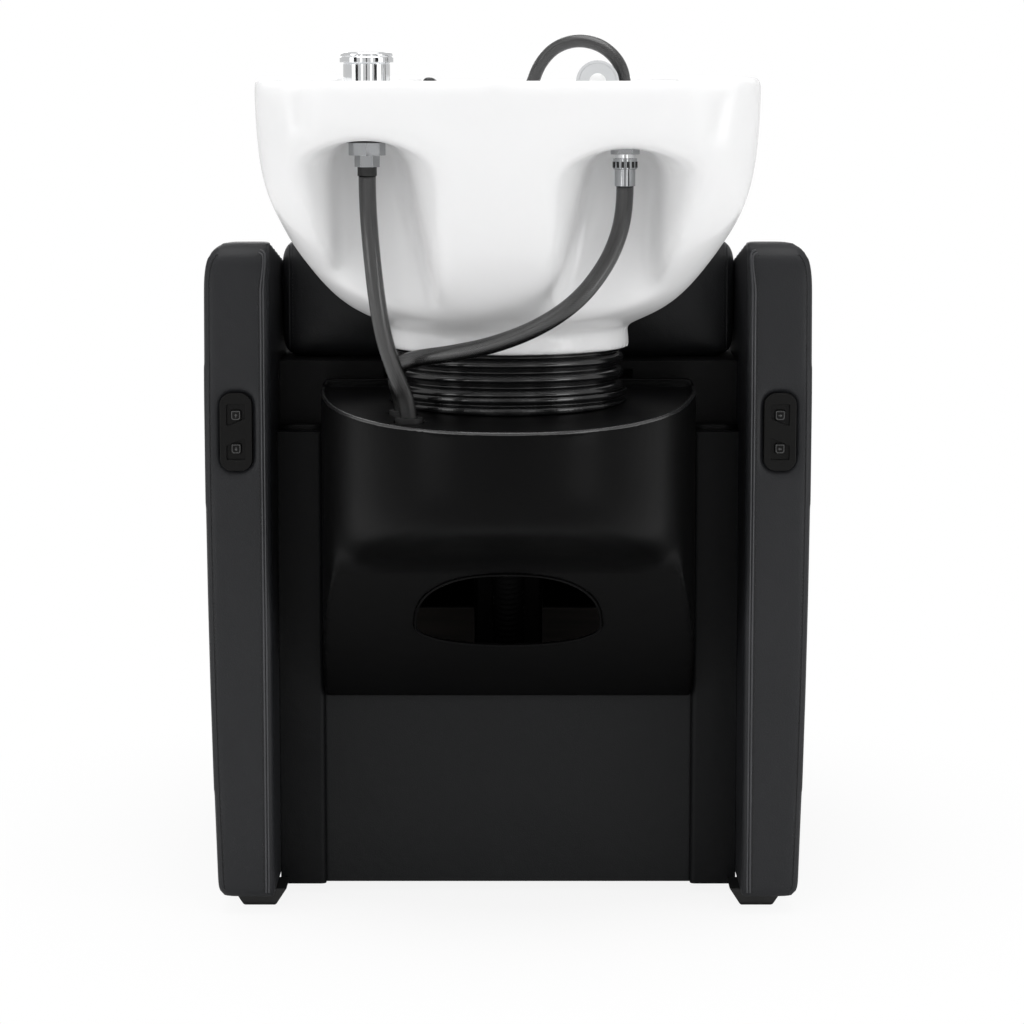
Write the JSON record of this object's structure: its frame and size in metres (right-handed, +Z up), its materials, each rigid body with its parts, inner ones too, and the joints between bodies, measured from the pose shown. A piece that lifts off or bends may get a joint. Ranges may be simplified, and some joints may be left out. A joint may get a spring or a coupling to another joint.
{
  "type": "hair washing bed",
  "caption": "Upholstered shampoo chair with a tilting ceramic backwash basin, mixer tap, hand shower, rear service cover, sliding seat and swinging leg rest.",
  "frame": {"origin": "on the floor under the middle of the chair's footprint", "axes": "+Y points at the basin end, +Z is up, X runs across the chair"},
  "size_m": [0.6716, 1.3795, 0.9788],
  "materials": {
    "white_ceramic": "smooth white glaze",
    "arm_vinyl": "charcoal upholstery vinyl, fine grain",
    "seat_vinyl": "near-black upholstery vinyl, fine grain",
    "black_gel": "soft black gel",
    "black_gloss": "black moulding, satin gloss",
    "black_satin": "black moulding, satin",
    "panel_grey": "dark grey board, satin",
    "key_black": "dark key cap with a pale outline",
    "foot_plastic": "black plastic",
    "black_rubber": "black rubber",
    "bellows_rubber": "dark grey rubber, slightly glossy",
    "hose_black": "black braided hose",
    "bright_chrome": "polished chrome",
    "handset_grey": "silver grey plastic",
    "handset_white": "white plastic",
    "waste_plastic": "white plumbing plastic",
    "manifold_brass": "plain brass",
    "frame_steel": "black powder coat",
    "motor_black": "black coated housing",
    "plywood": "plain birch plywood"
  },
  "bodies": {
    "base": {"base_plate": "frame_steel", "rear_column": "frame_steel", "basin_bracket": "frame_steel", "lower_cross_tube": "frame_steel", "seat_cross_tubes": "frame_steel", "seat_rails": "frame_steel", "feet": "foot_plastic", "arm_left": "arm_vinyl", "arm_right": "arm_vinyl", "control_bezel_left": "black_satin", "control_bezel_right": "black_satin", "pillar_left": "black_satin", "pillar_right": "black_satin", "lower_rear_panel": "panel_grey", "shroud_band": "black_gloss", "upper_back_pad": "seat_vinyl", "rear_cover": "black_gloss", "hose_grommets": "black_rubber", "bellows_ring": "black_rubber", "bellows": "bellows_rubber", "water_manifold": "manifold_brass", "waste_outlet": "waste_plastic", "waste_hose": "black_rubber", "control_box": "black_satin", "backrest_board": "plywood", "backrest_cushion": "seat_vinyl", "seat_drive": "motor_black"},
    "basin": {"basin": "white_ceramic", "basin_cradle": "frame_steel", "tilt_pins": "frame_steel", "drain_flange": "bright_chrome", "drain_tail": "waste_plastic", "neck_rest": "black_gel", "mixer_base": "bright_chrome", "mixer_washer": "black_rubber", "mixer_nut": "bright_chrome", "hose_collar": "black_rubber", "supply_hose": "hose_black", "outlet_fitting": "bright_chrome", "mixed_hose": "hose_black", "deck_union": "bright_chrome", "shower_holder": "handset_grey", "shower_hose": "hose_black"},
    "hair_trap": {"hair_trap": "bright_chrome"},
    "mixer_spindle": {"mixer_spindle": "bright_chrome"},
    "mixer_handle": {"mixer_handle": "bright_chrome"},
    "hand_shower": {"hand_shower": "handset_grey", "spray_face": "handset_white"},
    "button_leg_up": {"button_leg_up": "key_black"},
    "button_leg_down": {"button_leg_down": "key_black"},
    "button_seat_forward": {"button_seat_forward": "key_black"},
    "button_seat_back": {"button_seat_back": "key_black"},
    "seat": {"seat_board": "plywood", "seat_cushion": "seat_vinyl", "leg_hinge_rod": "frame_steel", "leg_gearmotor": "motor_black"},
    "legrest": {"legrest_board": "plywood", "legrest_cushion": "seat_vinyl"}
  },
  "joints": [
    {"name": "basin_tilt", "type": "hinge", "parent": "base", "child": "basin", "pos_m": [0, 0.39, 0.603], "axis": [1, 0, 0], "range_deg": [-10, 4], "deforming": ["bellows", "supply_hose", "mixed_hose", "waste_hose"]},
    {"name": "hair_trap_lift", "type": "slide", "parent": "basin", "child": "hair_trap", "axis": [0, 0, 1], "range_m": [0, 0.06]},
    {"name": "mixer_turn", "type": "hinge", "parent": "basin", "child": "mixer_spindle", "pos_m": [0.145, 0.59, 0.9303], "axis": [0, 0, 1], "range_deg": [-50, 50]},
    {"name": "mixer_lift", "type": "hinge", "parent": "mixer_spindle", "child": "mixer_handle", "pos_m": [0.145, 0.614, 0.949], "axis": [-1, 0, 0], "range_deg": [0, 15]},
    {"name": "hand_shower_lift", "type": "slide", "parent": "basin", "child": "hand_shower", "axis": [0, 0, 1], "range_m": [0, 0.12], "deforming": ["shower_hose"]},
    {"name": "button_leg_up_press", "type": "slide", "parent": "base", "child": "button_leg_up", "axis": [0, -1, 0], "range_m": [0, 0.0015], "stiffness_N_per_m": 400},
    {"name": "button_leg_down_press", "type": "slide", "parent": "base", "child": "button_leg_down", "axis": [0, -1, 0], "range_m": [0, 0.0015], "stiffness_N_per_m": 400},
    {"name": "button_seat_forward_press", "type": "slide", "parent": "base", "child": "button_seat_forward", "axis": [0, -1, 0], "range_m": [0, 0.0015], "stiffness_N_per_m": 400},
    {"name": "button_seat_back_press", "type": "slide", "parent": "base", "child": "button_seat_back", "axis": [0, -1, 0], "range_m": [0, 0.0015], "stiffness_N_per_m": 400},
    {"name": "seat_slide", "type": "slide", "parent": "base", "child": "seat", "axis": [0, -1, 0], "range_m": [0, 0.1]},
    {"name": "legrest_swing", "type": "hinge", "parent": "seat", "child": "legrest", "pos_m": [0, -0.6, 0.338], "axis": [-1, 0, 0], "range_deg": [0, 80]}
  ]
}
